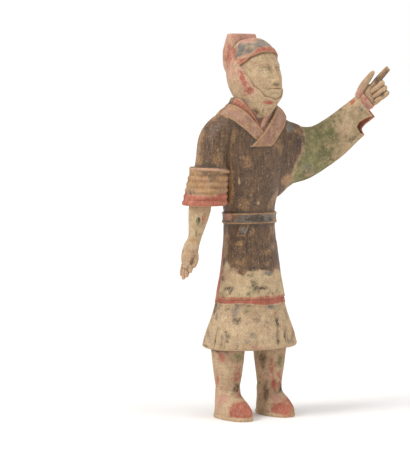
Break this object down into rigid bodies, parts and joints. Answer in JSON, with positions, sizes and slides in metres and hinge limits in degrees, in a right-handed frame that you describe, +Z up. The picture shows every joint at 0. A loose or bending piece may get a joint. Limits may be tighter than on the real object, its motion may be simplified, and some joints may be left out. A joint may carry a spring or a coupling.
{
  "type": "standing warrior figure",
  "caption": "Standing figure of painted earthenware in a belted robe, boots and a peaked hood, its right arm hanging and its left arm raised with the forefinger held out.",
  "frame": {"origin": "middle of the figure's box on the ground it stands on", "axes": "+Z up, the figure faces -Y, its raised left arm is on the +X side"},
  "size_m": [0.3132, 0.1264, 0.5485],
  "materials": {
    "painted_earthenware": "matte fired clay with worn mineral paint in brown, red, cream and grey-green"
  },
  "bodies": {
    "root": {"warrior_figure": "painted_earthenware"}
  },
  "joints": []
}
